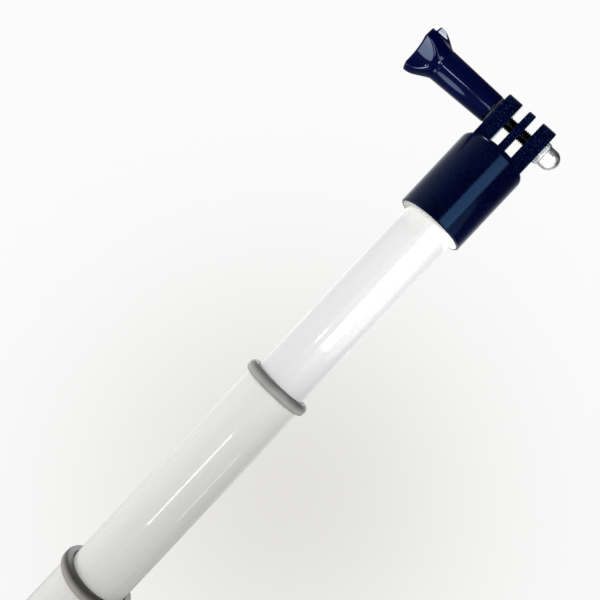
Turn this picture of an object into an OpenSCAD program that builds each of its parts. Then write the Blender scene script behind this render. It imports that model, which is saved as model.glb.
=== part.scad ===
// Telescopic camera pole: three painted tubes with twist locks, a three-finger camera head with
// its thumb screw, and a rubber grip. The pole stands along +Z. Its origin is the centre of the
// end cap's flat bottom, and the thumb screw lies along X with its knob on the -X side.

/* [Tubes] */
// Outside diameter of the upper, thinnest tube
upper_tube_d = 20; // [18:0.5:20]
// Outside diameter of the middle tube
middle_tube_d = 23; // [22.5:0.5:23.5]
// Outside diameter of the lower tube, the one in the hand
lower_tube_d = 26; // [25.5:0.5:27]
// Wall thickness of all three tubes
tube_wall = 0.8; // [0.6:0.1:0.9]
// Length of the upper tube
upper_tube_len = 252; // [230:1:254]
// Length of the middle tube
middle_tube_len = 275; // [255:1:276]
// Length of the lower tube
lower_tube_len = 325; // [325:1:360]

/* [Rest position] */
// Bare length of the upper tube, from the upper ring to the head
upper_shown = 75.4; // [20:0.1:76]
// Bare length of the middle tube, from the lower ring to the upper ring
middle_shown = 88; // [20:0.5:88]

/* [Trim rings] */
// Height of a ring
ring_h = 4; // [3.6:0.1:6]
// How far a ring stands out from the tube it caps
ring_over = 1.45; // [1.3:0.05:2]
// Radius of a ring's outer edges
ring_edge_r = 1.2; // [0.5:0.1:1.2]
// Depth of the thin spigot that guides the inner tube
spigot_h = 8; // [4:0.5:12]

/* [Head] */
// Diameter of the round part of the head
head_d = 26; // [25:0.5:30]
// Height of the round part of the head
head_h = 33; // [28:0.5:40]
// Solid floor between the tube's end and the fingers
head_roof = 6; // [4:0.5:8]
// Height of the screw axis above the round part
screw_up = 11.8; // [11:0.1:14]
// Depth of the fingers, front to back
finger_d = 15.4; // [14:0.1:16]
// Thickness of the two outer fingers
outer_finger_t = 6; // [5:0.1:6.5]
// Thickness of the middle finger
mid_finger_t = 3; // [2.8:0.1:3.2]
// Gap between two fingers
finger_gap = 3.1; // [3:0.05:3.3]

/* [Thumb screw] */
// Nominal diameter of the screw
screw_d = 5; // [5:0.1:5]
// Pitch of the screw's thread
screw_pitch = 0.8; // [0.8:0.1:0.8]
// Length of the knob, shank and head together
knob_len = 33.8; // [28:0.1:36]
// Length of the knob's flared head
knob_head_len = 9.9; // [8:0.1:12]
// Diameter of the shank beside the finger
shank_d = 10.7; // [10:0.1:11.5]
// Diameter of the shank beside the flared head
shank_end_d = 12; // [11.6:0.1:12.4]
// Diameter of the flared head
knob_d = 20.4; // [19:0.1:22]
// Wrench size of the dome nut
nut_af = 8; // [8:0.1:8]

/* [Grip and end cap] */
// Diameter of the rubber grip
grip_d = 31; // [31:0.5:34]
// Length of the rubber grip
grip_len = 125; // [100:5:140]
// Diameter of the end cap
cap_d = 30; // [29.5:0.5:30]
// Thickness of the solid end of the cap
cap_base = 12; // [10:0.5:14]
// Diameter of the lanyard hole
lanyard_d = 4.5; // [4:0.1:5]

/* [Hidden] */
$fn = 96;
eps = 0.5;            // how far a cutter passes through the face it opens

// Clearances
ring_gap = 0.2;       // ring to the tube that slides in it, on the radius
sleeve_gap = 0.15;    // free lock sleeve to the tube it grips, on the radius
thread_gap = 0.05;    // running fit of a screw in its thread, on the radius
face_gap = 0.05;      // between flat faces that turn on each other

// Heights along the pole
lower_mouth_z = cap_base + lower_tube_len;
ring_lip = 1.2;                                  // ring above the tube's mouth
ring_skirt = ring_h - ring_lip;                  // ring below the tube's mouth
upper_mouth_z = lower_mouth_z + ring_lip + middle_shown + ring_skirt;
head_z = upper_mouth_z + ring_lip + upper_shown; // bottom of the head
head_top_z = head_z + head_h;
screw_z = head_top_z + screw_up;
tube_top_z = head_top_z - head_roof;
middle_end_z = upper_mouth_z - middle_tube_len;  // lower end of the middle tube
upper_end_z = tube_top_z - upper_tube_len;       // lower end of the upper tube

// Head
head_edge_r = 2.4;     // round of the head's upper edge
head_foot_r = 0.6;     // round of the head's lower edge
liner_d = 24.2;        // liner between the head's foot and the tube
liner_h = 3;
outer_finger_x = mid_finger_t / 2 + finger_gap;  // inner face of an outer finger
head_x = outer_finger_x + outer_finger_t;        // outer face of an outer finger
screw_hole_d = screw_d + 0.2;
nut_sunk = 2.2;        // depth of the nut's pocket
nut_hex_h = 4;         // height of the nut's hexagon
nut_h = 10;            // whole height of the nut
nut_dome_d = 7.5;
nut_x = head_x - nut_sunk;
nut_bore_h = 8;
grub_d = 3;
grub_len = 2.7;
grub_z = head_z + 11.8;

// Thumb screw
rod_d = screw_d - 2 * thread_gap;
washer_t = 0.8;
washer_d = 10.4;
washer_x = -head_x - face_gap;                   // face of the washer beside the finger
shank_x = washer_x - washer_t - face_gap;        // where the knob starts
knob_x = shank_x - knob_len;                     // end face of the knob
rod_tip_x = nut_x + nut_bore_h - 0.6;
rod_root_x = shank_x - 21;                       // end of the rod inside the knob
scoop_floor_r = shank_end_d / 2 + 0.4;           // how near the axis a scoop comes
scoop_r = 8.3;
scoop_count = 4;
scoop_turn = 32.5;                               // turn of the first scoop about the screw
flare_steps = 14;

// Twist locks, measured down from the lower end of the tube that carries them
plug_in = 14;          // plug inside the tube
plug_flange_t = 3;
sleeve_top = plug_flange_t + 0.3;
sleeve_h = 20.6;
sleeve_roof = 3;
sleeve_slit_w = 1.4;
sleeve_wall = 2.2;     // from the outer tube to the taper, at the sleeve's lower end
cone_top = 9.5;
cone_end = 27;
cone_travel = 1;       // one turn of the stud's thread
stop_top = 28.4;
stop_h = 2.4;
stud_end = 32;
stud_d = 6;
stud_in = 5;           // stud inside the plug, above the tube's end
pin_d = 2.4;
pin_up = 9.5;          // height of the cross pin above the tube's end
cone_half_angle = 8;

// Handle
collar_h = 5;
cap_skirt = 10;        // cap above its solid end
cap_flat_x = 13.5;     // flats where the lanyard hole comes out
cap_flat_h = cap_base - 1.5;
grip_z = cap_base + cap_skirt;
end_plug_h = 18;
cap_screw_z = cap_base + 6;
cap_screw_d = 2.9;

function bore_d(tube_d) = tube_d - 2 * tube_wall;

// ---- Outlines ----

// Rectangle with its two outer corners rounded, in the plane of a revolved outline
module rounded_band(r0, r1, z0, z1, edge_low, edge_high) {
    translate([r0, z0 + edge_low]) square([r1 - r0, z1 - z0 - edge_low - edge_high]);
    translate([r0, z0]) square([r1 - r0 - edge_low, edge_low]);
    translate([r0, z1 - edge_high]) square([r1 - r0 - edge_high, edge_high]);
    translate([r1 - edge_low, z0 + edge_low]) circle(r = edge_low);
    translate([r1 - edge_high, z1 - edge_high]) circle(r = edge_high);
}

module along_x(x) {
    translate([x, 0, screw_z]) rotate([0, 90, 0]) children();
}

// ---- Shared pieces ----

module tube(d, z0, z1) {
    difference() {
        translate([0, 0, z0]) cylinder(d = d, h = z1 - z0);
        translate([0, 0, z0 - eps]) cylinder(d = bore_d(d), h = z1 - z0 + 2 * eps);
    }
}

// Cross holes for the pin that holds a lock's plug in its tube
module pin_hole(end_z) {
    translate([-lower_tube_d, 0, end_z + pin_up]) rotate([0, 90, 0])
        cylinder(d = pin_d, h = 2 * lower_tube_d, $fn = 48);
}

module mouth_ring(d, inner_d, mouth_z) {
    guide_r = inner_d / 2 + ring_gap;
    rotate_extrude() difference() {
        union() {
            rounded_band(guide_r, d / 2 + ring_over, mouth_z - ring_skirt, mouth_z + ring_lip,
                ring_edge_r, ring_edge_r);
            translate([guide_r, mouth_z - spigot_h]) square([bore_d(d) / 2 - guide_r, spigot_h]);
        }
        translate([bore_d(d) / 2, mouth_z - spigot_h - eps]) square([tube_wall, spigot_h + eps]);
    }
}

module lock_plug(d, end_z) {
    difference() {
        union() {
            translate([0, 0, end_z]) cylinder(d = bore_d(d), h = plug_in);
            translate([0, 0, end_z - plug_flange_t]) cylinder(d = d, h = plug_flange_t);
        }
        translate([0, 0, end_z - plug_flange_t - eps])
            cylinder(d = stud_d, h = plug_flange_t + stud_in + eps);
        pin_hole(end_z);
    }
}

module lock_stud(end_z) {
    chamfer = 0.6;
    rotate_extrude() polygon([
        [0, end_z - stud_end], [stud_d / 2 - chamfer, end_z - stud_end],
        [stud_d / 2, end_z - stud_end + chamfer], [stud_d / 2, end_z + stud_in], [0, end_z + stud_in]
    ]);
}

// Hexagonal stop nut locked on the end of the stud
module lock_stop(end_z) {
    difference() {
        translate([0, 0, end_z - stop_top - stop_h]) cylinder(d = 10 / cos(30), h = stop_h, $fn = 6);
        translate([0, 0, end_z - stop_top - stop_h - eps]) cylinder(d = stud_d, h = stop_h + 2 * eps);
    }
}

module plug_pin(d, end_z) {
    sunk = 0.1;
    translate([-d / 2 + sunk, 0, end_z + pin_up]) rotate([0, 90, 0])
        cylinder(d = pin_d, h = d - 2 * sunk, $fn = 48);
}

// Radius of a lock's taper at a distance below the tube's end
function taper_r(outer_d, below) =
    bore_d(outer_d) / 2 - sleeve_wall + (below - sleeve_top - sleeve_h) * tan(cone_half_angle);

// Split sleeve that grips the outer tube when the cone is drawn into it
module lock_sleeve(outer_d, end_z) {
    r = bore_d(outer_d) / 2 - sleeve_gap;
    low = sleeve_top + sleeve_h;
    groove = 0.4;
    groove_count = 5;
    difference() {
        translate([0, 0, end_z - low]) cylinder(r = r, h = sleeve_h);
        translate([0, 0, end_z - low - eps]) cylinder(r = stud_d / 2 + 0.4, h = sleeve_h + 2 * eps);
        rotate_extrude() polygon([
            [0, end_z - low - eps], [taper_r(outer_d, low + eps), end_z - low - eps],
            [taper_r(outer_d, sleeve_top + sleeve_roof), end_z - sleeve_top - sleeve_roof],
            [0, end_z - sleeve_top - sleeve_roof]
        ]);
        for (turn = [0, 90])
            rotate([0, 0, turn]) translate([-outer_d, -sleeve_slit_w / 2, end_z - low - eps])
                cube([2 * outer_d, sleeve_slit_w, sleeve_h - sleeve_roof - 1.5 + eps]);
        for (i = [1:groove_count])
            translate([0, 0, end_z - low + i * sleeve_h / (groove_count + 1) - 0.5]) difference() {
                cylinder(r = r + eps, h = 1);
                translate([0, 0, -eps]) cylinder(r = r - groove, h = 1 + 2 * eps);
            }
    }
}

// Tapered nut that rides on the stud, keyed in the sleeve's slits
module lock_cone(outer_d, end_z) {
    gap = 0.12;
    key_w = sleeve_slit_w - 0.4;
    low = sleeve_top + sleeve_h;
    foot_top = low + cone_travel;
    foot_r = bore_d(outer_d) / 2 - 0.9;
    difference() {
        union() {
            rotate_extrude() polygon([
                [0, end_z - foot_top], [taper_r(outer_d, foot_top) - gap, end_z - foot_top],
                [taper_r(outer_d, cone_top) - gap, end_z - cone_top], [0, end_z - cone_top]
            ]);
            translate([0, 0, end_z - cone_end]) cylinder(r = foot_r, h = cone_end - foot_top);
            translate([-foot_r + 0.4, -key_w / 2, end_z - foot_top - 0.5])
                cube([2 * foot_r - 0.8, key_w, 9]);
        }
        translate([0, 0, end_z - cone_end - eps])
            cylinder(r = stud_d / 2 + thread_gap, h = cone_end - cone_top + 2 * eps);
    }
}

// ---- Handle ----

module lanyard_hole() {
    translate([-cap_d, 0, cap_base / 2]) rotate([0, 90, 0])
        cylinder(d = lanyard_d, h = 2 * cap_d);
}

// Radial hole of the cap's screw
module cap_screw_hole(d, y0, y1) {
    translate([0, y0, cap_screw_z]) rotate([-90, 0, 0]) cylinder(d = d, h = y1 - y0, $fn = 48);
}

module end_cap() {
    color("#10182a") difference() {
        rotate_extrude() rounded_band(0, cap_d / 2, 0, cap_base + cap_skirt, 2, 0.8);
        translate([0, 0, cap_base]) cylinder(d = lower_tube_d, h = cap_skirt + eps);
        lanyard_hole();
        for (side = [-1, 1])
            translate([side * (cap_flat_x + cap_d / 2), 0, (cap_flat_h - eps) / 2])
                cube([cap_d, 2 * cap_d, cap_flat_h + eps], center = true);
        cap_screw_hole(cap_screw_d, lower_tube_d / 2 - 1, cap_d);
        cap_screw_hole(5.6, cap_d / 2 - 1.2, cap_d);
    }
}

module end_plug() {
    color("#d8d8d2") difference() {
        translate([0, 0, cap_base]) cylinder(d = bore_d(lower_tube_d), h = end_plug_h);
        translate([0, 0, cap_base + 4]) cylinder(d = bore_d(lower_tube_d) - 16, h = end_plug_h);
        cap_screw_hole(cap_screw_d, 5, lower_tube_d);
    }
}

module cap_screw() {
    color("#3a3d42") difference() {
        union() {
            cap_screw_hole(cap_screw_d, 6, cap_d / 2 - 1);
            cap_screw_hole(5.4, cap_d / 2 - 1.2, cap_d / 2 - 0.2);
        }
        for (turn = [0, 90])
            translate([0, cap_d / 2, cap_screw_z]) rotate([0, turn, 0])
                cube([2.6, 1.6, 0.7], center = true);
    }
}

module grip() {
    color("#0b1430") rotate_extrude() difference() {
        translate([lower_tube_d / 2, grip_z]) square([(grip_d - lower_tube_d) / 2, grip_len]);
        for (end = [0, 1])
            translate([grip_d / 2, grip_z + end * grip_len]) rotate(45)
                square([1.6, 1.6], center = true);
    }
}

module grip_collar() {
    color("#7f7f7d") rotate_extrude()
        rounded_band(lower_tube_d / 2, grip_d / 2 - 0.6, grip_z + grip_len, grip_z + grip_len + collar_h,
            0.4, 0.9);
}

module lower_tube() {
    color("#e9eae4") difference() {
        tube(lower_tube_d, cap_base, lower_mouth_z);
        cap_screw_hole(cap_screw_d, 5, lower_tube_d);
    }
}

module lower_ring() {
    color("#7d7a69") mouth_ring(lower_tube_d, middle_tube_d, lower_mouth_z);
}

// ---- Middle section ----

module middle_tube() {
    color("#dedfd9") difference() {
        tube(middle_tube_d, middle_end_z, upper_mouth_z);
        pin_hole(middle_end_z);
    }
}

module upper_ring() {
    color("#7f7f7d") mouth_ring(middle_tube_d, upper_tube_d, upper_mouth_z);
}

// ---- Upper section ----

module upper_tube() {
    color("#f4f5f2") difference() {
        tube(upper_tube_d, upper_end_z, tube_top_z);
        pin_hole(upper_end_z);
    }
}

module finger(x0, x1) {
    translate([x0, 0, 0]) rotate([90, 0, 90]) linear_extrude(x1 - x0) {
        translate([-finger_d / 2, head_top_z - head_edge_r])
            square([finger_d, screw_up + head_edge_r]);
        translate([0, screw_z]) circle(d = finger_d);
    }
}

module camera_head() {
    color("#06112b") difference() {
        union() {
            rotate_extrude()
                rounded_band(0, head_d / 2, head_z, head_top_z, head_foot_r, head_edge_r);
            intersection() {
                union() {
                    finger(-head_x, -outer_finger_x);
                    finger(-mid_finger_t / 2, mid_finger_t / 2);
                    finger(outer_finger_x, head_x);
                }
                translate([0, 0, head_z]) cylinder(d = head_d, h = head_h + screw_up + finger_d);
            }
        }
        translate([0, 0, head_z - eps])
            cylinder(d = upper_tube_d, h = tube_top_z - head_z + eps);
        translate([0, 0, head_z - eps]) cylinder(d = liner_d, h = liner_h + eps);
        along_x(-head_x - eps) cylinder(d = screw_hole_d, h = 2 * head_x + 2 * eps);
        along_x(nut_x) cylinder(d = (nut_af + 0.1) / cos(30), h = nut_h, $fn = 6);
        translate([-head_d, 0, grub_z]) rotate([0, 90, 0]) cylinder(d = grub_d, h = 2 * head_d);
    }
}

module head_liner() {
    groove_r = 11.2;
    color("#e6e6e2") rotate_extrude() difference() {
        translate([upper_tube_d / 2, head_z]) square([(liner_d - upper_tube_d) / 2, liner_h]);
        translate([groove_r - 0.15, head_z - eps]) square([0.3, eps + 0.4]);
    }
}

module dome_nut() {
    dome_r = nut_dome_d / 2;
    color("#c9cbd0") difference() {
        union() {
            along_x(nut_x) intersection() {
                cylinder(d = nut_af / cos(30), h = nut_hex_h, $fn = 6);
                cylinder(d1 = 9.6, d2 = 8.6, h = nut_hex_h);
            }
            along_x(nut_x) cylinder(r = dome_r, h = nut_h - dome_r);
            along_x(nut_x + nut_h - dome_r) sphere(r = dome_r);
        }
        along_x(nut_x - eps) cylinder(d = screw_d, h = nut_bore_h + eps);
    }
}

module head_grub_screws() {
    socket_af = 1.5;
    color("#1c1f26") for (turn = [0, 180])
        rotate([0, 0, turn]) translate([upper_tube_d / 2, 0, grub_z]) rotate([0, 90, 0]) difference() {
            cylinder(d = grub_d, h = grub_len);
            translate([0, 0, grub_len - 1.5]) cylinder(d = socket_af / cos(30), h = 1.5 + eps, $fn = 6);
        }
}

// ---- Twist locks ----

module lower_lock_sleeve() {
    color("#2d2f33") lock_sleeve(lower_tube_d, middle_end_z);
}

module lower_lock_cone() {
    color("#c8b24a") lock_cone(lower_tube_d, middle_end_z);
}

module lower_lock_plug() {
    color("#e4e2da") lock_plug(middle_tube_d, middle_end_z);
}

module lower_lock_stud() {
    color("#b9bcc2") lock_stud(middle_end_z);
}

module lower_lock_stop() {
    color("#a8abb2") lock_stop(middle_end_z);
}

module lower_plug_pin() {
    color("#a8abb2") plug_pin(middle_tube_d, middle_end_z);
}

module upper_lock_sleeve() {
    color("#2d2f33") lock_sleeve(middle_tube_d, upper_end_z);
}

module upper_lock_cone() {
    color("#c8b24a") lock_cone(middle_tube_d, upper_end_z);
}

module upper_lock_plug() {
    color("#e4e2da") lock_plug(upper_tube_d, upper_end_z);
}

module upper_lock_stud() {
    color("#b9bcc2") lock_stud(upper_end_z);
}

module upper_lock_stop() {
    color("#a8abb2") lock_stop(upper_end_z);
}

module upper_plug_pin() {
    color("#a8abb2") plug_pin(upper_tube_d, upper_end_z);
}

// ---- Thumb screw ----

module thrust_washer() {
    color("#15181f") along_x(washer_x - washer_t) difference() {
        cylinder(d = washer_d, h = washer_t);
        translate([0, 0, -eps]) cylinder(d = screw_d + 0.1, h = washer_t + 2 * eps);
    }
}

module thumb_screw_rod() {
    chamfer = 0.7;
    color("#1b1c20") translate([0, 0, screw_z]) rotate([0, 90, 0]) rotate_extrude() polygon([
        [0, rod_root_x], [rod_d / 2, rod_root_x], [rod_d / 2, rod_tip_x - chamfer],
        [rod_d / 2 - chamfer, rod_tip_x], [0, rod_tip_x]
    ]);
}

// Radius of the knob's flare, from 0 at the shank to 1 at the end face
function flare_r(part) = shank_end_d / 2 + (knob_d - shank_end_d) / 2 * pow(sin(90 * part), 1.3);

module knob_blank() {
    rim = 0.7;
    flare_x = knob_x + knob_head_len;
    rotate_extrude() polygon(concat(
        [[0, shank_x], [shank_d / 2 - 0.3, shank_x], [shank_d / 2, shank_x - 0.3]],
        [for (i = [0:flare_steps])
            [flare_r(i / flare_steps), flare_x - (knob_head_len - rim) * i / flare_steps]],
        [for (a = [30:30:90])
            [knob_d / 2 - rim + rim * cos(a), knob_x + rim - rim * sin(a)]],
        [[0, knob_x]]
    ));
}

module thumb_knob() {
    color("#04112e") translate([0, 0, screw_z]) rotate([0, 90, 0]) difference() {
        knob_blank();
        translate([0, 0, rod_root_x]) cylinder(d = rod_d, h = knob_len);
        for (i = [0:scoop_count - 1])
            rotate([0, 0, scoop_turn + i * 360 / scoop_count])
                translate([scoop_floor_r + scoop_r, 0, knob_x - eps])
                    cylinder(r = scoop_r, h = knob_head_len + eps);
    }
}

end_cap();
end_plug();
cap_screw();
grip();
grip_collar();
lower_tube();
lower_ring();
lower_lock_sleeve();
lower_lock_cone();
middle_tube();
upper_ring();
lower_lock_plug();
lower_lock_stud();
lower_lock_stop();
lower_plug_pin();
upper_lock_sleeve();
upper_lock_cone();
upper_tube();
upper_lock_plug();
upper_lock_stud();
upper_lock_stop();
upper_plug_pin();
camera_head();
head_liner();
dome_nut();
head_grub_screws();
thrust_washer();
thumb_screw_rod();
thumb_knob();
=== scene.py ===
"""Looks of the telescopic camera pole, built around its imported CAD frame. Metres, in the CAD frame."""

import math

import bmesh
import bpy
from mathutils import Matrix, Vector


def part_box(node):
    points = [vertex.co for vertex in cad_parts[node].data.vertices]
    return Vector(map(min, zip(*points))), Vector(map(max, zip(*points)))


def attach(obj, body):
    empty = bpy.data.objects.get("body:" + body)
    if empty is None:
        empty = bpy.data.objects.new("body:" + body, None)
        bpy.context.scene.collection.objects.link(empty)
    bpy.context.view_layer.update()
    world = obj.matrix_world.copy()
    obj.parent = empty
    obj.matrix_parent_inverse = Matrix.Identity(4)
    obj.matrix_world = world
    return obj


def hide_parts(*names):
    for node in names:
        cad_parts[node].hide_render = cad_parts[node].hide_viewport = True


MM = 0.001
TURN = 2 * math.pi

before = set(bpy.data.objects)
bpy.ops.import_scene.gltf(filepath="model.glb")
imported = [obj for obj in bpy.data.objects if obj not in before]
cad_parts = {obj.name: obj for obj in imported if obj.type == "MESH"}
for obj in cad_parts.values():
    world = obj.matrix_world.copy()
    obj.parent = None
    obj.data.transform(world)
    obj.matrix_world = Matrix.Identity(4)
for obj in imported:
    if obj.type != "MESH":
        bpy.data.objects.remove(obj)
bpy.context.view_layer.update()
scene = bpy.context.scene


# ---------------------------------------------------------------- frame

def low(node):
    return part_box(node)[0]


def high(node):
    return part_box(node)[1]


def middle(node):
    return (low(node) + high(node)) / 2


def along_pole(node):
    """A node's lowest and highest z, and its radius about the pole's axis."""
    return low(node).z, high(node).z, high(node).y


def along_screw(node):
    """A node's lowest and highest x, and its radius about the screw's axis."""
    return low(node).x, high(node).x, high(node).y


SCREW_Z = middle("thumb_screw_rod").z
HEAD_R = high("camera_head").y
HEAD_Z = low("camera_head").z
SCREW_UP = 11.8 * MM                            # screw's axis above the round part of the head
HEAD_TOP = SCREW_Z - SCREW_UP
FINGER_R = high("camera_head").z - SCREW_Z      # fingers end in a half round about the screw
FINGER_X = high("thrust_washer").x + 0.05 * MM  # outer face of the knob's finger
UPPER_R = high("upper_tube").y
LOWER_R = high("lower_tube").y
TUBE_WALL = 0.8 * MM


# ---------------------------------------------------------------- mesh building

SHARP = 32              # edges sharper than this many degrees stay sharp in the shading
BRACE = 0.05 * MM
LONG_SIDE = 20 * BRACE
ON_AXIS = 1e-9


def rounded(corners, steps=6):
    """Open outline through corners (x, y, fillet radius), each fillet drawn as an arc."""
    points = []
    for i, (x, y, fillet) in enumerate(corners):
        here = Vector((x, y))
        if fillet == 0 or i in (0, len(corners) - 1):
            points.append(here)
            continue
        back = (Vector(corners[i - 1][:2]) - here).normalized()
        on = (Vector(corners[i + 1][:2]) - here).normalized()
        half = back.angle(on) / 2
        centre = here + (back + on).normalized() * fillet / math.sin(half)
        start = here + back * fillet / math.tan(half) - centre
        sweep = start.angle_signed(here + on * fillet / math.tan(half) - centre)
        for k in range(steps + 1):
            points.append(centre + Matrix.Rotation(-sweep * k / steps, 2) @ start)
    return [(p.x, p.y) for p in points]


def bevel(size, steps):
    """Steps round a quarter circle, each as its distance along the axis and towards it."""
    turns = [math.pi / 2 * k / steps for k in range(steps + 1)]
    return [(size * (1 - math.cos(q)), size * (1 - math.sin(q))) for q in turns]


def pole_ring(radius, z, sides):
    """Round ring of points about the pole's axis."""
    turns = [TURN * i / sides for i in range(sides)]
    return [(radius * math.cos(a), radius * math.sin(a), z) for a in turns]


def shaped_ring(radius_at, x, sides, turn=0.0):
    """Ring of points about the screw's axis. radius_at gives the radius in a direction."""
    ring = []
    for i in range(sides):
        a = TURN * i / sides
        r = radius_at(a)
        ring.append((x, r * math.cos(a + turn), SCREW_Z + r * math.sin(a + turn)))
    return ring


def screw_ring(radius, x, sides, turn=0.0):
    """Round ring of points about the screw's axis."""
    return shaped_ring(lambda a: radius, x, sides, turn)


def add_mesh(name, verts, faces, sharp=SHARP):
    mesh = bpy.data.meshes.new(name)
    mesh.from_pydata(verts, [], faces)
    bm = bmesh.new()
    bm.from_mesh(mesh)
    bmesh.ops.recalc_face_normals(bm, faces=bm.faces)
    bm.to_mesh(mesh)
    bm.free()
    smooth_mesh(mesh, sharp)
    obj = bpy.data.objects.new(name, mesh)
    scene.collection.objects.link(obj)
    return obj


def smooth_mesh(mesh, sharp=SHARP):
    mesh.polygons.foreach_set("use_smooth", [True] * len(mesh.polygons))
    mesh.set_sharp_from_angle(angle=math.radians(sharp))
    mesh.update()


def skin(name, rings, start=None, end=None, closed=False, sharp=SHARP):
    """Mesh over rings of points. start and end are tip points that close it, closed joins last to first."""
    sides = len(rings[0])
    verts = [p for ring in rings for p in ring]
    faces = []
    spans = len(rings) if closed else len(rings) - 1
    for r in range(spans):
        a, b = r * sides, (r + 1) % len(rings) * sides
        for i in range(sides):
            j = (i + 1) % sides
            faces.append((a + i, a + j, b + j, b + i))
    for tip, base in ((start, 0), (end, (len(rings) - 1) * sides)):
        if tip is not None:
            verts.append(tip)
            for i in range(sides):
                faces.append((len(verts) - 1, base + i, base + (i + 1) % sides))
    return add_mesh(name, verts, faces, sharp)


def braced(outline, closed):
    """Adds a point close to both ends of each long side, so that shading stays flat between them."""
    points = []
    last = len(outline) - 1
    for i, (x, y) in enumerate(outline):
        points.append((x, y))
        if i == last and not closed:
            break
        to = Vector(outline[(i + 1) % len(outline)])
        span = to - Vector((x, y))
        if span.length > LONG_SIDE:
            step = span.normalized() * BRACE
            points += [(x + step.x, y + step.y), (to.x - step.x, to.y - step.y)]
    return points


def revolve(name, outline, sides=192, turn_axis="z", sharp=SHARP):
    """Solid turned about the pole's axis, "z", or the screw's, "x", from points (radius, place along it).

    An outline that touches the axis ends there in tips. Any other is closed on itself.
    """
    outline = braced(outline, outline[0][0] > ON_AXIS)
    on_axis = [p[0] < ON_AXIS for p in (outline[0], outline[-1])]
    body = outline[on_axis[0]:len(outline) - on_axis[1]]
    ring = pole_ring if turn_axis == "z" else screw_ring

    def tip(along):
        return (0, 0, along) if turn_axis == "z" else (along, 0, SCREW_Z)

    return skin(
        name, [ring(r, along, sides) for r, along in body],
        start=tip(outline[0][1]) if on_axis[0] else None,
        end=tip(outline[-1][1]) if on_axis[1] else None,
        closed=not any(on_axis), sharp=sharp,
    )


def boolean(target, other, operation):
    """Joins or cuts target with other, and deletes other."""
    mod = target.modifiers.new(operation, "BOOLEAN")
    mod.operation = operation
    mod.solver = "EXACT"
    mod.object = other
    apply_modifiers(target)
    bpy.data.objects.remove(other)


def apply_modifiers(obj):
    dg = bpy.context.evaluated_depsgraph_get()
    mesh = bpy.data.meshes.new_from_object(obj.evaluated_get(dg))
    obj.modifiers.clear()
    obj.data = mesh
    smooth_mesh(mesh)


def finish_piece(obj, body, material, node):
    """Gives a new piece its material and its body, and hides the CAD node that it stands for."""
    obj.data.materials.clear()
    obj.data.materials.append(material)
    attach(obj, body)
    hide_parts(node)


# ---------------------------------------------------------------- materials

MIX_FACTOR, MIX_A, MIX_B, MIX_RESULT = 0, 6, 7, 2       # the colour mix node's sockets


class Tree:
    """A node tree, and short calls to add to it."""

    def __init__(self, tree):
        self.tree = tree

    def add(self, kind, **values):
        """New node. Values are its properties, or its inputs where the name is not a property."""
        node = self.tree.nodes.new(kind)
        for name, value in values.items():
            if hasattr(node, name):
                setattr(node, name, value)
            else:
                self.put(node, name.replace("_", " ").title(), value)
        return node

    def put(self, node, socket, value):
        if isinstance(value, bpy.types.NodeSocket):
            self.tree.links.new(value, node.inputs[socket])
        else:
            node.inputs[socket].default_value = value

    def math(self, operation, a, b=0.0):
        node = self.add("ShaderNodeMath", operation=operation)
        for i, value in enumerate((a, b)):
            self.put(node, i, value)
        return node.outputs[0]

    def mix(self, factor, a, b):
        node = self.add("ShaderNodeMix", data_type="RGBA")
        self.put(node, MIX_FACTOR, factor)
        for i, colour in ((MIX_A, a), (MIX_B, b)):
            self.put(node, i, colour if isinstance(colour, bpy.types.NodeSocket) else (*colour, 1))
        return node.outputs[MIX_RESULT]


class Nodes(Tree):
    """A new material with one Principled shader, whose textures lie in object coordinates."""

    def __init__(self, name, sockets=None):
        self.material = bpy.data.materials.new(name)
        self.material.use_nodes = True
        super().__init__(self.material.node_tree)
        self.shader = self.tree.nodes["Principled BSDF"]
        self.coords = self.tree.nodes.new("ShaderNodeTexCoord").outputs["Object"]
        for socket, value in (sockets or {}).items():
            self.shader.inputs[socket].default_value = value

    def stretched(self, size):
        """Object coordinates divided by a size in metres, or by three sizes."""
        sizes = size if isinstance(size, tuple) else (size,) * 3
        mapping = self.add("ShaderNodeMapping", vector=self.coords)
        mapping.inputs["Scale"].default_value = [1 / s for s in sizes]
        return mapping.outputs["Vector"]

    def noise(self, size, detail=3.0, roughness=0.5):
        node = self.add("ShaderNodeTexNoise", detail=detail, roughness=roughness)
        self.put(node, "Vector", self.stretched(size))
        self.put(node, "Scale", 1.0)
        return node.outputs["Fac"]

    def cells(self, size):
        node = self.add("ShaderNodeTexVoronoi")
        self.put(node, "Vector", self.stretched(size))
        self.put(node, "Scale", 1.0)
        return node

    def up(self):
        return self.add("ShaderNodeSeparateXYZ", vector=self.coords).outputs["Z"]

    def span(self, value, from_low, from_high, to_low=0, to_high=1):
        """A value carried from one range to another, and held at its ends."""
        node = self.add("ShaderNodeMapRange")
        for socket, v in (("Value", value), ("From Min", from_low), ("From Max", from_high),
                          ("To Min", to_low), ("To Max", to_high)):
            self.put(node, socket, v)
        return node.outputs["Result"]

    def colour(self, value):
        self.put(self.shader, "Base Color", value)

    def rough(self, value):
        self.put(self.shader, "Roughness", value)

    def bump(self, height, depth):
        """Relief of a depth in metres."""
        node = self.add("ShaderNodeBump", strength=1.0, distance=depth)
        self.put(node, "Height", height)
        self.put(self.shader, "Normal", node.outputs["Normal"])


SPECK_BLUE = (0.010, 0.030, 0.12)
SPECK_SIZE, SPECK_FADE = 0.55 * MM, 3 * MM      # blue dots, at full strength above this much finger
CHIP_GREY = (0.12, 0.11, 0.10)
CHIP_APART, CHIP_SIZE, CHIP_SHARE = 7 * MM, 0.018, 0.66
TOP_SHADE_FROM, TOP_SHADE_TO = 2.6 * MM, 0.8 * MM           # below a ring's top, where its painted shade fades in


def tint(colour, factor):
    return tuple(c * factor for c in colour)


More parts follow.
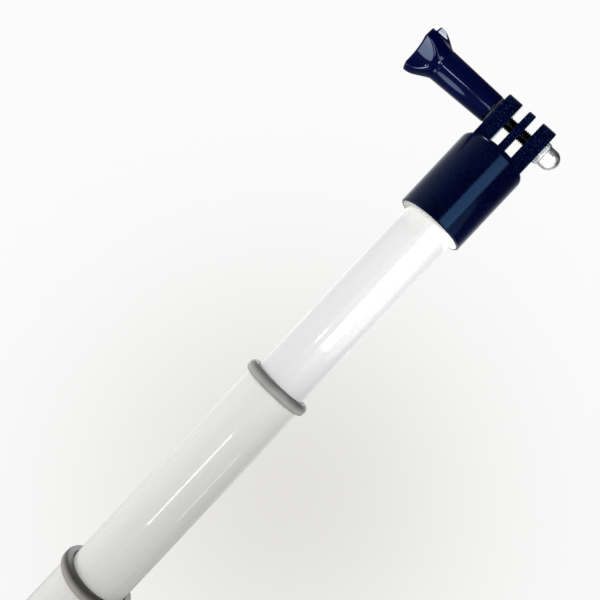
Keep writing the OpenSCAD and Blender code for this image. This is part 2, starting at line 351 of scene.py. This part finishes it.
def white_paint(name, colour):
    """Gloss paint on tube: faint orange peel, light rub marks along the tube and a few dark chips."""
    n = Nodes(name, {"Coat Weight": 1.0, "Coat Roughness": 0.03, "Specular IOR Level": 0.4})
    patches = n.noise(26 * MM, 2)
    rubs = n.noise((2 * MM, 2 * MM, 12 * MM))
    chips = n.cells(CHIP_APART)
    chip = n.math("LESS_THAN", chips.outputs["Distance"], CHIP_SIZE)
    picked = n.math("GREATER_THAN", chips.outputs["Color"], CHIP_SHARE)
    worn = n.mix(n.span(patches, 0.35, 0.65), tint(colour, 0.985), colour)
    n.colour(n.mix(n.math("MULTIPLY", chip, picked), worn, CHIP_GREY))
    n.rough(n.span(rubs, 0.3, 0.75, 0.24, 0.30))
    peel = n.noise(1.8 * MM, 2)
    n.bump(peel, 0.003 * MM)
    return n.material


def moulded(name, colour, rough, grain=0.3 * MM, depth=0.02 * MM, sockets=None, specks=False, top_shade=None):
    """Moulded plastic or rubber: fine grain, patchy gloss and shade.

    specks adds blue dots to the fingers. The top-shade argument, a height and a factor, darkens a ring
    towards its top edge with painted shade, which stands in for the shadow beside the tube.
    """
    n = Nodes(name, sockets)
    grains = n.noise(grain, 3, 0.6)
    patches = n.noise(9 * MM)
    shade = n.mix(n.span(patches, 0.35, 0.7), tint(colour, 0.85), tint(colour, 1.15))
    # Painted shade: the ring's colour darkens towards its top edge, where the tube shades it
    if top_shade:
        top, factor = top_shade
        shade = n.mix(n.span(n.up(), top - TOP_SHADE_FROM, top - TOP_SHADE_TO), shade, tint(colour, factor))
    if specks:
        on_finger = n.span(n.up(), HEAD_TOP, HEAD_TOP + SPECK_FADE, 0.15, 1)
        dots = n.span(n.noise(SPECK_SIZE, 2), 0.56, 0.72)
        shade = n.mix(n.math("MULTIPLY", dots, on_finger), shade, SPECK_BLUE)
    n.colour(shade)
    n.rough(n.span(n.math("ADD", grains, patches), 0.6, 1.4, rough * 0.85, rough * 1.15))
    n.bump(grains, depth)
    return n.material


def metal(name, colour, rough, grain=(0.15 * MM, 0.15 * MM, 4 * MM), depth=0.004 * MM):
    """Plated or turned metal: fine tool marks and smudges that change the gloss."""
    n = Nodes(name, {"Metallic": 1.0})
    marks = n.noise(grain, 3, 0.6)
    smudge = n.noise(2.5 * MM)
    n.colour(n.mix(n.span(smudge, 0.3, 0.7), tint(colour, 0.9), colour))
    n.rough(n.span(n.math("ADD", marks, smudge), 0.7, 1.3, rough * 0.7, rough * 1.4))
    n.bump(marks, depth)
    return n.material


UPPER_WHITE, LOWER_WHITE = (0.795, 0.80, 0.79), (0.80, 0.795, 0.76)
RING_GRAIN, RING_DEPTH = 0.35 * MM, 0.03 * MM
# The plastics' low index of refraction keeps reflections at grazing angles dark
HEAD_SOCKETS = {
    "IOR": 1.2, "Specular IOR Level": 0.9, "Specular Tint": (0.18, 0.48, 1.0, 1),
    "Sheen Weight": 0.05, "Sheen Roughness": 0.35, "Sheen Tint": (0.08, 0.25, 1.0, 1),
}
KNOB_SOCKETS = {"IOR": 1.25, "Specular IOR Level": 1.0, "Specular Tint": (0.57, 0.71, 1.0, 1)}


def all_materials():
    return {
        "upper_paint": white_paint("upper_paint", UPPER_WHITE),
        "middle_paint": white_paint("middle_paint", LOWER_WHITE),
        "lower_paint": white_paint("lower_paint", LOWER_WHITE),
        "ring_grey": moulded("ring_grey", (0.19, 0.188, 0.18), 0.55, RING_GRAIN, RING_DEPTH),
        # The two rings' materials carry painted shade on their top edges
        "upper_ring": moulded("upper_ring_grey_shaded_top", (0.38, 0.375, 0.365), 0.45, RING_GRAIN, RING_DEPTH,
                              {"Specular IOR Level": 0.8}, top_shade=(high("upper_ring").z, 0.30)),
        "lower_ring": moulded("lower_ring_grey_shaded_top", (0.37, 0.345, 0.315), 0.5, RING_GRAIN, RING_DEPTH,
                              {"Specular IOR Level": 0.6}, top_shade=(high("lower_ring").z, 0.10)),
        "head_navy": moulded("head_navy", (0.0005, 0.0007, 0.010), 0.11, 0.30 * MM, 0.012 * MM,
                             HEAD_SOCKETS, specks=True),
        "knob_navy": moulded("knob_navy", (0.0002, 0.0009, 0.018), 0.08, 0.5 * MM, 0.001 * MM,
                             KNOB_SOCKETS),
        "chrome": metal("chrome", (0.96, 0.96, 0.97), 0.36, 0.8 * MM, 0.0005 * MM),
        "black_steel": metal("black_steel", (0.07, 0.072, 0.085), 0.22, 0.25 * MM),
        "zinc_steel": metal("zinc_steel", (0.55, 0.56, 0.58), 0.28),
        "white_nylon": moulded("white_nylon", (0.66, 0.65, 0.60), 0.45),
        "black_nylon": moulded("black_nylon", (0.018, 0.018, 0.022), 0.5),
        "cone_acetal": moulded("cone_acetal", (0.62, 0.53, 0.25), 0.35),
        "grip_rubber": moulded("grip_rubber", (0.010, 0.014, 0.030), 0.62, 0.25 * MM, 0.05 * MM),
        "cap_rubber": moulded("cap_rubber", (0.011, 0.015, 0.030), 0.5, 0.3 * MM, 0.04 * MM),
    }


# ---------------------------------------------------------------- pieces

TUBE_SIDES, HOLE_SIDES = 256, 48
CAP_FLAT_X, CAP_FLAT_TOP = 13.5 * MM, 10.5 * MM
CAP_SCREW_R, CAP_SEAT_R, CAP_SEAT_DEPTH = 1.45 * MM, 2.8 * MM, 1.2 * MM
LANYARD_Z, LANYARD_R = 6 * MM, 2.25 * MM


def rod(name, radius, start, end, sides, turn_axis="z"):
    """Plain rod to cut a hole with."""
    return revolve(name, [(0, start), (radius, start), (radius, end), (0, end)], sides, turn_axis)


def screw_hole(target, radius, y0):
    """Cuts a round hole along +Y for the cap screw, from y0 outwards."""
    hole = rod("screw_cut", radius, y0, 2 * LOWER_R, HOLE_SIDES)
    hole.data.transform(Matrix.Translation((0, 0, middle("cap_screw").z))
                        @ Matrix.Rotation(-math.pi / 2, 4, "X"))
    boolean(target, hole, "DIFFERENCE")


def tube_piece(name, node, body, material, screwed=False):
    z0, z1, r = along_pole(node)
    half, edge = (z0 + z1) / 2, 0.2 * MM
    outline = rounded([
        (r - TUBE_WALL, half, 0), (r - TUBE_WALL, z0, edge), (r, z0, edge),
        (r, z1, edge), (r - TUBE_WALL, z1, edge), (r - TUBE_WALL, half + MM, 0),
    ], 3)
    tube = revolve(name, outline, TUBE_SIDES)
    if screwed:
        screw_hole(tube, CAP_SCREW_R, 0)
    finish_piece(tube, body, material, node)


RING_SKIRT, RING_LIP = 4.0 * MM, 1.2 * MM       # down the tube's outside, and above its mouth
RING_PROUD, RING_PLAY = 1.45 * MM, 0.2 * MM     # outside the tube, and round the tube that slides in it


def trim_ring(name, node, inner_node, body, material):
    """Ring over a tube's mouth: rounded skirt, lip over the wall and a thin spigot inside."""
    z_low, z1, r = along_pole(node)
    half = (z_low + z1) / 2
    skirt_z = z1 - RING_SKIRT
    mouth_z = z1 - RING_LIP
    tube_r = r - RING_PROUD
    bore_r = tube_r - TUBE_WALL
    guide_r = high(inner_node).y + RING_PLAY
    small, foot, crown, mouth = 0.12 * MM, 0.25 * MM, 1.2 * MM, 0.5 * MM      # fillets
    outline = rounded([
        (guide_r, half, 0), (guide_r, z_low, small), (bore_r, z_low, small),
        (bore_r, mouth_z, 0), (tube_r, mouth_z, 0), (tube_r, skirt_z, foot),
        (r, skirt_z, crown), (r, z1, crown), (guide_r, z1, mouth), (guide_r, half + MM, 0),
    ], 8)
    finish_piece(revolve(name, outline, TUBE_SIDES), body, material, node)


FINGER_SIDES, FINGER_HOLE_R = 144, 2.6 * MM
MIDDLE_HALF, FINGER_GAP = 1.5 * MM, 3.1 * MM        # half the middle finger, and the gap beside it


def finger(name, x0, x1):
    """Upright plate around the screw's axis, with rounded edges and a round hole."""
    edge, rim, steps = 0.45 * MM, 0.25 * MM, 5
    floor = -SCREW_UP - 1.5 * MM          # runs a little into the round part

    def reach(a):
        """Distance from the screw's axis to the plate's outline, in the direction a."""
        c, s = math.cos(a), math.sin(a)
        if s >= 0:
            return FINGER_R
        to_side = FINGER_R / abs(c) if abs(c) > 1e-6 else 1e9
        return min(to_side, floor / s)

    def outer(x, inset):
        return shaped_ring(lambda a: reach(a) - inset, x, FINGER_SIDES)

    def bore(x, widened):
        return screw_ring(FINGER_HOLE_R + widened, x, FINGER_SIDES)

    rings = [outer(x0 + along, inset) for along, inset in bevel(edge, steps)]
    rings += [outer(x1 - along, inset) for inset, along in bevel(edge, steps)]
    rings += [bore(x1 - along, widened) for along, widened in bevel(rim, steps)]
    rings += [bore(x0 + along, widened) for widened, along in bevel(rim, steps)]
    return skin(name, rings, closed=True)


def head_body():
    """Round part of the head, with the socket for the upper tube and its liner."""
    roof = high("upper_tube").z
    liner_r, liner_z = high("head_liner").y, high("head_liner").z
    outline = rounded([
        (0, roof, 0), (UPPER_R, roof, 0), (UPPER_R, liner_z, 0), (liner_r, liner_z, 0),
        (liner_r, HEAD_Z, 0.1 * MM), (HEAD_R, HEAD_Z, 0.55 * MM),
        (HEAD_R, HEAD_TOP, 2.4 * MM), (0, HEAD_TOP, 0),
    ], 8)
    return revolve("camera_head_moulding", outline)


def camera_head(material):
    """Head with three fingers, the nut's hexagon pocket and the hole of the two grub screws."""
    head = head_body()
    beside = MIDDLE_HALF + FINGER_GAP
    spans = ((FINGER_X, -beside), (-MIDDLE_HALF, MIDDLE_HALF), (beside, -FINGER_X))
    for i, (x0, x1) in enumerate(spans):
        boolean(head, finger(f"finger_{i}", x0, x1), "UNION")
    nut_face = low("dome_nut").x
    pocket_r = high("dome_nut").y / math.cos(TURN / 12) + 0.06 * MM
    pocket = rod("pocket", pocket_r, nut_face, nut_face + 10 * MM, 6, "x")
    boolean(head, pocket, "DIFFERENCE")
    grub_z, grub_r = middle("head_grub_screws").z, high("head_grub_screws").y
    hole = rod("grub_hole", grub_r, -HEAD_R * 2, HEAD_R * 2, HOLE_SIDES, "x")
    hole.data.transform(Matrix.Translation((0, 0, grub_z - SCREW_Z)))
    boolean(head, hole, "DIFFERENCE")
    finish_piece(head, "upper_section", material, "camera_head")


def head_liner(material):
    """White liner between the head's foot and the tube, with a fine groove round its face."""
    z0, z1, r = along_pole("head_liner")
    groove_r, groove, edge = 11.2 * MM, 0.15 * MM, 0.08 * MM
    outline = rounded([
        (UPPER_R, z0 + MM, 0), (UPPER_R, z0, 0.3 * MM), (groove_r - groove, z0, edge),
        (groove_r, z0 + 2 * groove, 0), (groove_r + groove, z0, edge), (r, z0, edge),
        (r, z1, 0), (UPPER_R, z1, 0), (UPPER_R, z0 + 1.1 * MM, 0),
    ], 4)
    liner = revolve("head_liner_ring", outline)
    finish_piece(liner, "upper_section", material, "head_liner")


KNOB_SIDES = 720
KNOB_HEAD_LEN = 9.9 * MM
KNOB_RIM, KNOB_DOME = 0.8 * MM, 0.35 * MM
SHANK_R, SHANK_END_R, SHANK_EDGE = 5.35 * MM, 6.0 * MM, 0.5 * MM
SCOOPS = 4
SCOOP_PART = TURN / SCOOPS
SCOOP_TURN = math.radians(180 + 32.5)       # of one scoop, from +Y towards +Z
SCOOP_R = 8.3 * MM
SCOOP_FAR = SHANK_END_R + 0.4 * MM + SCOOP_R    # of a scoop's centre from the axis
SCOOP_BLEND = 1.2 * MM


def smooth_min(a, b, k):
    """The smaller of two values, blended where they are less than k apart."""
    h = max(k - abs(a - b), 0) / k
    return min(a, b) - h * h * k / 4


def scooped(radius, a):
    """Radius in the direction a, where scoops cut into a disc of the given radius."""
    off = (a - SCOOP_TURN + SCOOP_PART / 2) % SCOOP_PART - SCOOP_PART / 2
    inside = SCOOP_R ** 2 - (SCOOP_FAR * math.sin(off)) ** 2
    if inside <= 0:
        return radius
    return smooth_min(radius, SCOOP_FAR * math.cos(off) - math.sqrt(inside), SCOOP_BLEND)


def knob_head_ring(x, radius, inset=0.0, scale=1.0):
    return shaped_ring(lambda a: scooped(radius, a) * scale - inset, x, KNOB_SIDES)


def shank_rings(x_start, flare_x, steps=24):
    """Rounded end of the shank, and its slight taper up to the flare."""
    rings = [screw_ring(SHANK_R - inset, x_start - along, KNOB_SIDES)
             for along, inset in bevel(SHANK_EDGE, 5)]
    for k in range(1, steps):
        part = k / steps
        x = x_start - SHANK_EDGE + (flare_x - x_start + SHANK_EDGE) * part
        rings.append(screw_ring(SHANK_R + (SHANK_END_R - SHANK_R) * part, x, KNOB_SIDES))
    return rings


def knob_head_rings(x_end, flare_x, knob_r, flare_steps=90, rim_steps=8, face_steps=10):
    """Flare, rounded rim and shallow domed face."""
    rings = []
    flare_len = KNOB_HEAD_LEN - KNOB_RIM - KNOB_DOME
    for k in range(flare_steps + 1):
        part = k / flare_steps
        grow = math.sin(math.pi / 2 * part) ** 1.3
        rings.append(knob_head_ring(flare_x - flare_len * part,
                                    SHANK_END_R + (knob_r - SHANK_END_R) * grow))
    for inset, along in bevel(KNOB_RIM, rim_steps)[1:]:
        rings.append(knob_head_ring(x_end + KNOB_DOME + along, knob_r, inset))
    for k in range(1, face_steps):
        part = 1 - k / face_steps
        rings.append(knob_head_ring(x_end + KNOB_DOME * part ** 2, knob_r, KNOB_RIM * part, part))
    return rings


def thumb_knob(material):
    """Round shank that flares into a head with four finger scoops."""
    x_end, x_start, knob_r = along_screw("thumb_knob")
    flare_x = x_end + KNOB_HEAD_LEN
    rings = shank_rings(x_start, flare_x) + knob_head_rings(x_end, flare_x, knob_r)
    knob = skin("thumb_knob_moulding", rings, start=(x_start, 0, SCREW_Z), end=(x_end, 0, SCREW_Z),
                sharp=50)
    finish_piece(knob, "thumb_screw", material, "thumb_knob")


THREAD_PITCH, THREAD_DEPTH = 0.8 * MM, 0.42 * MM
THREAD_STEPS, THREAD_SIDES = 10, 64             # rings in each pitch, points in each ring
THREAD_POINT, THREAD_POINT_SLOPE = 0.7 * MM, 0.8


def thumb_screw(material):
    """Screw with a real thread: the groove winds round the rod once in each pitch."""
    x0, x1, r = along_screw("thumb_screw_rod")
    thread_from = FINGER_X + 1.5 * MM
    rings = [screw_ring(r, x, THREAD_SIDES) for x in (x0, thread_from - THREAD_PITCH)]
    count = int((x1 - thread_from) / THREAD_PITCH * THREAD_STEPS)
    for k in range(count + 1):
        x = thread_from + (x1 - thread_from) * k / count
        fade = min(1, (x - thread_from) / THREAD_PITCH)
        point = min(0, x1 - THREAD_POINT - x)

        def threaded(a):
            wave = abs((x / THREAD_PITCH - a / TURN) % 1 - 0.5) * 2
            groove = min(1, max(0, 1.25 * wave - 0.12))
            return r - THREAD_DEPTH * fade * groove + point * THREAD_POINT_SLOPE

        rings.append(shaped_ring(threaded, x, THREAD_SIDES))
    screw = skin("thumb_screw_thread", rings, start=(x0, 0, SCREW_Z), end=(x1, 0, SCREW_Z), sharp=60)
    finish_piece(screw, "thumb_screw", material, "thumb_screw_rod")


NUT_SIDES = 192
NUT_DOME_R, NUT_HEX_H, NUT_FILLET, NUT_BLEND = 3.75 * MM, 4.0 * MM, 0.35 * MM, 0.25 * MM
NUT_BORE_R, NUT_BORE_H, NUT_MOUTH = 2.5 * MM, 8.0 * MM, 0.4 * MM
FOOT_H, FOOT_INSET = 0.5 * MM, 0.9 * MM                             # chamfer at the hexagon's foot
CROWN_H, CROWN_PROUD, CROWN_INSET = 0.8 * MM, 0.2 * MM, 1.2 * MM    # and at its top
SIXTH = TURN / 6


def dome_nut(material):
    """Hexagon nut with rounded chamfers, a fillet and a domed end."""
    x0, x1, flat_r = along_screw("dome_nut")
    corner = flat_r / math.cos(SIXTH / 2)

    def hexagon(x, cap_r):
        return shaped_ring(lambda a: smooth_min(flat_r / math.cos(a % SIXTH - SIXTH / 2), cap_r, NUT_BLEND),
                           x, NUT_SIDES, SIXTH / 2)

    def disc(x, r):
        return screw_ring(r, x, NUT_SIDES, SIXTH / 2)

    rings = [disc(x0 + NUT_BORE_H, NUT_BORE_R), disc(x0 + NUT_MOUTH, NUT_BORE_R),
             disc(x0, NUT_BORE_R + NUT_MOUTH)]
    for k in range(5):
        rings.append(hexagon(x0 + FOOT_H * k / 4, corner - FOOT_INSET * (1 - k / 4)))
    for k in range(9):
        part = k / 8
        rings.append(hexagon(x0 + NUT_HEX_H - CROWN_H * (1 - part),
                             corner + CROWN_PROUD - CROWN_INSET * part ** 1.5))
    rings += [disc(x0 + NUT_HEX_H + along, NUT_DOME_R + widened)
              for along, widened in bevel(NUT_FILLET, 6)]
    for k in range(24):
        q = math.pi / 2 * k / 24
        rings.append(disc(x1 - NUT_DOME_R + NUT_DOME_R * math.sin(q), NUT_DOME_R * math.cos(q)))
    nut = skin("dome_nut_plated", rings, start=(x0 + NUT_BORE_H, 0, SCREW_Z), end=(x1, 0, SCREW_Z),
               sharp=40)
    finish_piece(nut, "upper_section", material, "dome_nut")


def washer(material):
    x0, x1, r = along_screw("thrust_washer")
    half, hole_r, edge = (x0 + x1) / 2, 2.55 * MM, 0.15 * MM
    outline = rounded([
        (hole_r, half, 0), (hole_r, x0, edge), (r, x0, edge), (r, x1, edge),
        (hole_r, x1, edge), (hole_r, half + 0.01 * MM, 0),
    ], 3)
    ring = revolve("thrust_washer_ring", outline, 96, "x")
    finish_piece(ring, "screw_washer", material, "thrust_washer")


GRIP_BAND, GRIP_PITCH, GRIP_GROOVE, GRIP_STEPS = 9 * MM, 4.2 * MM, 0.9 * MM, 12
GRIP_ROUND, GRIP_MOUTH = 1.2 * MM, 0.3 * MM         # fillets at the sleeve's ends
RIB_TOP = 0.25                                      # of the wave's height, where the ribs are plain


def grip_sleeve(material):
    """Rubber sleeve with rings of ribs between two plain bands."""
    z0, z1, r = along_pole("grip")
    half, ribbed = (z0 + z1) / 2, z1 - z0 - 2 * GRIP_BAND
    ribs = round(ribbed / GRIP_PITCH)
    pitch = ribbed / ribs
    outline = rounded([(LOWER_R, half, 0), (LOWER_R, z0, GRIP_MOUTH), (r, z0, GRIP_ROUND),
                       (r, z0 + GRIP_BAND, 0)])
    for rib in range(ribs):
        for k in range(1, GRIP_STEPS + 1):
            part = k / GRIP_STEPS
            dip = max(0, math.cos(TURN * (part - 0.5)) - RIB_TOP) / (1 - RIB_TOP)
            outline.append((r - GRIP_GROOVE * dip ** 0.6, z0 + GRIP_BAND + pitch * (rib + part)))
    outline += rounded([(r, z1 - GRIP_BAND, 0), (r, z1, GRIP_ROUND), (LOWER_R, z1, GRIP_MOUTH),
                        (LOWER_R, half + MM, 0)])[1:]
    sleeve = revolve("grip_sleeve", outline, sharp=45)
    finish_piece(sleeve, "handle", material, "grip")


def collar(material):
    z0, z1, r = along_pole("grip_collar")
    half, foot, mouth, shoulder, end = (z0 + z1) / 2, 0.1 * MM, 0.4 * MM, 1.5 * MM, 0.3 * MM
    outline = rounded([
        (LOWER_R, half, 0), (LOWER_R, z0, foot), (r, z0, mouth),
        (r, z1, shoulder), (LOWER_R, z1, end), (LOWER_R, half + 0.1 * MM, 0),
    ], 8)
    ring = revolve("grip_collar_ring", outline, TUBE_SIDES)
    finish_piece(ring, "handle", material, "grip_collar")


def end_cap(material):
    """Rubber plug over the butt: two flats, a lanyard hole through them and the screw's seat."""
    z0, z1, r = along_pole("end_cap")
    base = low("lower_tube").z
    outline = rounded([
        (0, base, 0), (LOWER_R, base, 0), (LOWER_R, z1, 0.2 * MM), (r, z1, 0.8 * MM),
        (r, z0, 2 * MM), (0, z0, 0),
    ], 8)
    cap = revolve("end_cap_moulding", outline)
    for side in (-1, 1):
        centre = (side * (CAP_FLAT_X + r), 0, CAP_FLAT_TOP / 2 - MM)
        block = add_mesh("flat_cut", *box_mesh(centre, (2 * r, 4 * r, CAP_FLAT_TOP + 2 * MM)))
        boolean(cap, block, "DIFFERENCE")
    hole = rod("lanyard_cut", LANYARD_R, -2 * r, 2 * r, 64, "x")
    hole.data.transform(Matrix.Translation((0, 0, LANYARD_Z - SCREW_Z)))
    boolean(cap, hole, "DIFFERENCE")
    screw_hole(cap, CAP_SCREW_R, LOWER_R - MM)
    screw_hole(cap, CAP_SEAT_R, r - CAP_SEAT_DEPTH)
    finish_piece(cap, "handle", material, "end_cap")


def box_mesh(centre, size):
    verts = [tuple(c + s * sz / 2 for c, s, sz in zip(centre, signs, size))
             for signs in ((-1, -1, -1), (1, -1, -1), (1, 1, -1), (-1, 1, -1),
                           (-1, -1, 1), (1, -1, 1), (1, 1, 1), (-1, 1, 1))]
    faces = [(0, 3, 2, 1), (4, 5, 6, 7), (0, 1, 5, 4), (1, 2, 6, 5), (2, 3, 7, 6), (3, 0, 4, 7)]
    return verts, faces


CAD_FINISHES = {
    "white_nylon": ("end_plug", "lower_lock_plug", "upper_lock_plug"),
    "black_nylon": ("lower_lock_sleeve", "upper_lock_sleeve"),
    "cone_acetal": ("lower_lock_cone", "upper_lock_cone"),
    "black_steel": ("head_grub_screws",),
    "zinc_steel": ("cap_screw", "lower_lock_stud", "upper_lock_stud", "lower_lock_stop",
                   "upper_lock_stop", "lower_plug_pin", "upper_plug_pin"),
}


def dress_cad_nodes(materials):
    """Materials for the inner pieces, whose CAD shape is shown as it is."""
    for finish, nodes in CAD_FINISHES.items():
        for node in nodes:
            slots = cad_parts[node].data.materials
            slots.clear()
            slots.append(materials[finish])


# ---------------------------------------------------------------- stage, light and camera

VIEW_TURN = math.radians(4.5)   # camera round the pole, from -Y towards +X
VIEW_ROLL = math.radians(46.8)
VIEW_BACK = 244 * MM            # from the pole
VIEW_SIDE = 15 * MM             # to the left of the pole
VIEW_BELOW = 94.6 * MM          # below the screw
LENS, SENSOR = 42, 36

SIDEWAYS = Vector((math.cos(VIEW_TURN), math.sin(VIEW_TURN), 0))
TOWARDS = Vector((math.sin(VIEW_TURN), -math.cos(VIEW_TURN), 0))    # from the pole to the camera
UP = Vector((0, 0, 1))
AIM = Vector((0, 0, SCREW_Z - VIEW_BELOW)) - VIEW_SIDE * SIDEWAYS
PICTURE_RIGHT = math.cos(VIEW_ROLL) * UP + math.sin(VIEW_ROLL) * SIDEWAYS
PICTURE_UP = math.sin(VIEW_ROLL) * UP - math.cos(VIEW_ROLL) * SIDEWAYS


def add_camera():
    data = bpy.data.cameras.new("camera")
    data.lens, data.sensor_width = LENS, SENSOR
    data.clip_start = 0.01
    camera = bpy.data.objects.new("camera", data)
    camera.matrix_world = Matrix((PICTURE_RIGHT, PICTURE_UP, TOWARDS)).transposed().to_4x4()
    camera.location = AIM + VIEW_BACK * TOWARDS
    scene.collection.objects.link(camera)
    scene.camera = camera


def direction(across, up):
    """Unit vector from the pole outwards, turned to the camera's right and raised, in degrees."""
    a, e = math.radians(across), math.radians(up)
    flat = math.cos(a) * TOWARDS + math.sin(a) * SIDEWAYS
    return (math.cos(e) * flat + math.sin(e) * UP).normalized()


def around(across, distance, rise):
    """Point round the pole: the turn from the camera, the distance, and the height over the aim."""
    return Vector((0, 0, AIM.z + rise)) + distance * direction(across, 0)


def soft_light(name, place, towards, width, height, power, shape="RECTANGLE", spread=180):
    """Flat light at a place, facing along a direction, with a spread in degrees."""
    data = bpy.data.lights.new(name, "AREA")
    data.shape = shape
    data.spread = math.radians(spread)
    data.size, data.size_y = width, height
    data.energy = power
    lamp = bpy.data.objects.new(name, data)
    lamp.location = place
    lamp.rotation_mode = "QUATERNION"
    lamp.rotation_quaternion = (-towards).to_track_quat("Z", "Y")
    lamp.visible_camera = False
    scene.collection.objects.link(lamp)


BACKDROP = (0.967, 0.967, 0.967)
BACKDROP_SHADE = (0.203, 0.211, 0.231)   # taken from the backdrop where the pole's soft shadow is darkest
SHADE_ACROSS, SHADE_UP, SHADE_WIDTH = -0.02, -0.271, 0.194
# Soft sources all round, not seen by the camera: turn, rise, width in radians, strength
GLOWS = (
    (-90, -20, 0.75, 1.58), (-75, 40, 0.40, 0.40), (0, -20, 0.60, 0.13), (120, -20, 0.40, 0.45),
    (-165, 10, 0.50, 1.10), (145, 5, 0.35, 0.90),
)
GLOW_PEAK = 1.6     # reflections keep the glows' middles and lose their edges


class WorldNodes(Tree):
    """The world's node tree, with soft round glows."""

    def __init__(self, tree):
        super().__init__(tree)
        self.sight = tree.nodes.new("ShaderNodeTexCoord").outputs["Generated"]

    def glow(self, towards, width):
        """1 in a direction, falling to 0 around it."""
        dot = self.add("ShaderNodeVectorMath", operation="DOT_PRODUCT")
        self.put(dot, 0, self.sight)
        self.put(dot, 1, towards)
        below_one = self.math("SUBTRACT", dot.outputs["Value"], 1)
        return self.math("EXPONENT", self.math("DIVIDE", below_one, width ** 2))


def add_world():
    """Pale backdrop with a soft shadow for the camera, and soft sources all round for the object."""
    world = bpy.data.worlds.new("studio")
    scene.world = world
    world.use_nodes = True
    nodes = WorldNodes(world.node_tree)
    in_shade = (SHADE_ACROSS * PICTURE_RIGHT + SHADE_UP * PICTURE_UP - TOWARDS).normalized()
    shaded = tuple(b - s for b, s in zip(BACKDROP, BACKDROP_SHADE))
    backdrop = nodes.tree.nodes["Background"]
    nodes.put(backdrop, "Color", nodes.mix(nodes.glow(in_shade, SHADE_WIDTH), BACKDROP, shaded))
    total = 0.0
    for turn, rise, width, strength in GLOWS:
        glow = nodes.glow(direction(turn, rise), width)
        total = nodes.math("ADD", nodes.math("MULTIPLY", glow, strength), total)
    path = nodes.add("ShaderNodeLightPath")
    fade = nodes.math("POWER", nodes.math("DIVIDE", total, GLOW_PEAK), path.outputs["Is Glossy Ray"])
    glows = nodes.add("ShaderNodeBackground")
    nodes.put(glows, "Strength", nodes.math("MULTIPLY", total, fade))
    choose = nodes.add("ShaderNodeMixShader")
    nodes.put(choose, 0, path.outputs["Is Camera Ray"])
    nodes.put(choose, 1, glows.outputs["Background"])
    nodes.put(choose, 2, backdrop.outputs["Background"])
    nodes.put(nodes.tree.nodes["World Output"], "Surface", choose.outputs["Shader"])


FLOOR_R, FLOOR_TOP, FLOOR_UNDER = 0.42, -0.01 * MM, -2 * MM


def add_floor():
    floor = rod("floor", FLOOR_R, FLOOR_UNDER, FLOOR_TOP, 128)
    n = Nodes("floor_card", {"Specular IOR Level": 0.2})
    n.colour(n.mix(n.noise(60 * MM), (0.88, 0.88, 0.88), (0.90, 0.90, 0.90)))
    n.rough(0.8)
    floor.data.materials.append(n.material)
    floor.visible_glossy = False          # the knob's underside stays dark, as in the photograph


# Turn from the camera, distance, height over the aim, width, height, power
STUDIO_LIGHTS = {
    "window": (26, 0.45, 0.115, 0.28, 0.27, 1.28),
    "lamp": (-4.4, 0.9, -0.33, 0.07, 0.20, 0.40),
    "side_lamp": (65, 0.9, -0.318, 0.04, 0.15, 0.10),
}
WASH_BACK, WASH_SIZE, WASH_POWER = 0.35, 0.5, 2.5
# Side of its target, turn, rise, distance, width and height, in mm and degrees, power, spread
NEAR_CARDS = {
    "card_line": (-54, -4.5, -20, 300, 34, 16, 0.045, 180),
    "card_band": (-32, -4.5, -72, 50, 15, 27, 0.0055, 180),
    "card_scoop": (-52, -4.5, -74, 50, 14, 74, 0.021, 180),
    "card_wing": (-51.5, -4.5, 79, 60, 16, 40, 0.024, 180),
    "card_arc": (-39, 20, -27, 130, 44, 44, 0.005, 40),
    "card_nut": (24, 45, -35, 90, 130, 130, 0.048, 180),
    "card_nut_low": (30, 30, -75, 45, 56, 66, 0.014, 180),
}


def near_card(name, side, turn, rise, away, width, height, power, spread):
    """Small oval light near the screw."""
    towards = -direction(turn, rise)
    target = Vector((0, 0, SCREW_Z)) + side * MM * SIDEWAYS
    soft_light(name, target - away * MM * towards, towards, width * MM, height * MM, power,
               "ELLIPSE", spread)


def add_stage():
    add_camera()
    add_world()
    add_floor()
    for name, (turn, distance, rise, width, height, power) in STUDIO_LIGHTS.items():
        soft_light(name, around(turn, distance, rise), -direction(turn, 0), width, height, power)
    soft_light("floor_wash", around(180, WASH_BACK, 0), -UP, WASH_SIZE, WASH_SIZE, WASH_POWER)
    for name, card in NEAR_CARDS.items():
        near_card(name, *card)


# ---------------------------------------------------------------- build

scene.view_settings.view_transform = "Standard"
materials = all_materials()
dress_cad_nodes(materials)
tube_piece("upper_tube_painted", "upper_tube", "upper_section", materials["upper_paint"])
tube_piece("middle_tube_painted", "middle_tube", "middle_section", materials["middle_paint"])
tube_piece("lower_tube_painted", "lower_tube", "handle", materials["lower_paint"], True)
trim_ring("upper_trim_ring", "upper_ring", "upper_tube", "middle_section", materials["upper_ring"])
trim_ring("lower_trim_ring", "lower_ring", "middle_tube", "handle", materials["lower_ring"])
camera_head(materials["head_navy"])
head_liner(materials["white_nylon"])
thumb_knob(materials["knob_navy"])
thumb_screw(materials["black_steel"])
dome_nut(materials["chrome"])
washer(materials["black_nylon"])
grip_sleeve(materials["grip_rubber"])
collar(materials["ring_grey"])
end_cap(materials["cap_rubber"])
add_stage()
